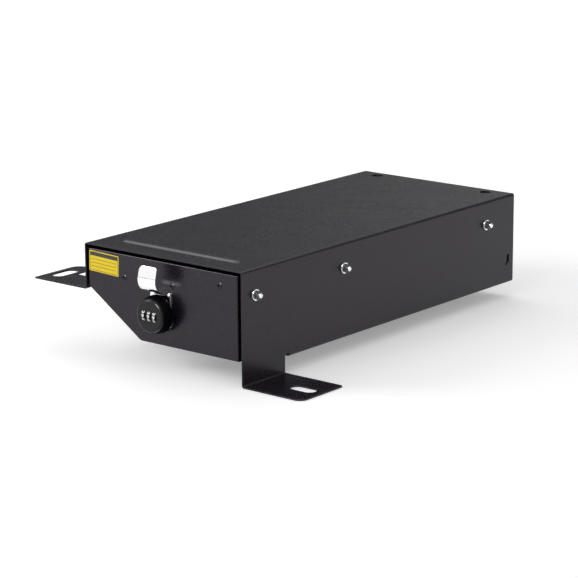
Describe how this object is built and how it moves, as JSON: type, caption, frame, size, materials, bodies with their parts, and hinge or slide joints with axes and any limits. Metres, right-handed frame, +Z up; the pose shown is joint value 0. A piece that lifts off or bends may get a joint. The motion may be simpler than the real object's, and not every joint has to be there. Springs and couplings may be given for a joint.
{
  "type": "under-seat security drawer",
  "caption": "Low folded-steel housing on two bolt-down feet, with a ball-bearing drawer, a combination cam lock and a finger pull.",
  "frame": {"origin": "under the middle of the whole object, left to right and front to rear, level with the underside of the right foot", "axes": "+Z up, +Y from the lock towards the rear panel, +X towards the tall right wall"},
  "size_m": [0.34, 0.465, 0.1132],
  "materials": {
    "powder_coat": "satin black powder coat with a fine texture",
    "black_rivet": "black rivets under the coat",
    "rail_steel": "zinc-plated rolled steel",
    "ball_steel": "polished bearing balls",
    "bright_zinc": "bright zinc-plated fasteners",
    "polished_steel": "polished steel strip",
    "yellow_label": "yellow vinyl write-on label",
    "lock_metal": "die-cast zinc alloy",
    "lock_black": "black satin-gloss lock knob",
    "wheel_black": "black number wheels with white numbers"
  },
  "bodies": {
    "housing": {"housing_shell": "powder_coat", "bottom_pan": "powder_coat", "rear_panel": "powder_coat", "pan_rivets": "black_rivet", "latch_strike": "powder_coat", "outer_rail_left": "rail_steel", "outer_rail_right": "rail_steel", "housing_screws": "bright_zinc", "housing_washers": "bright_zinc", "housing_nuts": "bright_zinc"},
    "left_cage": {"ball_cage_left": "rail_steel", "slide_balls_left": "ball_steel"},
    "right_cage": {"ball_cage_right": "rail_steel", "slide_balls_right": "ball_steel"},
    "drawer": {"inner_rail_left": "rail_steel", "inner_rail_right": "rail_steel", "tray_rivets": "bright_zinc", "drawer_tray": "powder_coat", "drawer_front": "powder_coat", "front_rivets": "black_rivet", "pull_tab": "polished_steel", "blank_label": "yellow_label", "lock_sleeve": "lock_metal", "lock_nut": "bright_zinc"},
    "lock_core": {"lock_knob": "lock_black", "lock_spindle": "lock_metal", "knob_screws": "bright_zinc", "wheel_axle": "bright_zinc", "lock_cam": "bright_zinc", "cam_screw": "bright_zinc"},
    "left_wheel": {"number_wheel_left": "wheel_black"},
    "middle_wheel": {"number_wheel_middle": "wheel_black"},
    "right_wheel": {"number_wheel_right": "wheel_black"}
  },
  "joints": [
    {"name": "drawer_slide", "type": "slide", "parent": "housing", "child": "drawer", "axis": [0, -1, 0], "range_m": [0, 0.3]},
    {"name": "left_cage_roll", "type": "slide", "parent": "housing", "child": "left_cage", "axis": [0, -1, 0], "range_m": [0, 0.15]},
    {"name": "right_cage_roll", "type": "slide", "parent": "housing", "child": "right_cage", "axis": [0, -1, 0], "range_m": [0, 0.15]},
    {"name": "lock_turn", "type": "hinge", "parent": "drawer", "child": "lock_core", "pos_m": [-0.002, -0.19946, 0.0562], "axis": [0, 1, 0], "range_deg": [0, 90]},
    {"name": "left_wheel_spin", "type": "hinge", "parent": "lock_core", "child": "left_wheel", "pos_m": [-0.0089, -0.22459, 0.0562], "axis": [1, 0, 0], "continuous": true},
    {"name": "middle_wheel_spin", "type": "hinge", "parent": "lock_core", "child": "middle_wheel", "pos_m": [-0.002, -0.22459, 0.0562], "axis": [1, 0, 0], "continuous": true},
    {"name": "right_wheel_spin", "type": "hinge", "parent": "lock_core", "child": "right_wheel", "pos_m": [0.0049, -0.22459, 0.0562], "axis": [1, 0, 0], "continuous": true}
  ],
  "couplings": [
    {"joint": "left_cage_roll", "follows": "drawer_slide", "ratio": 0.5},
    {"joint": "right_cage_roll", "follows": "drawer_slide", "ratio": 0.5}
  ]
}
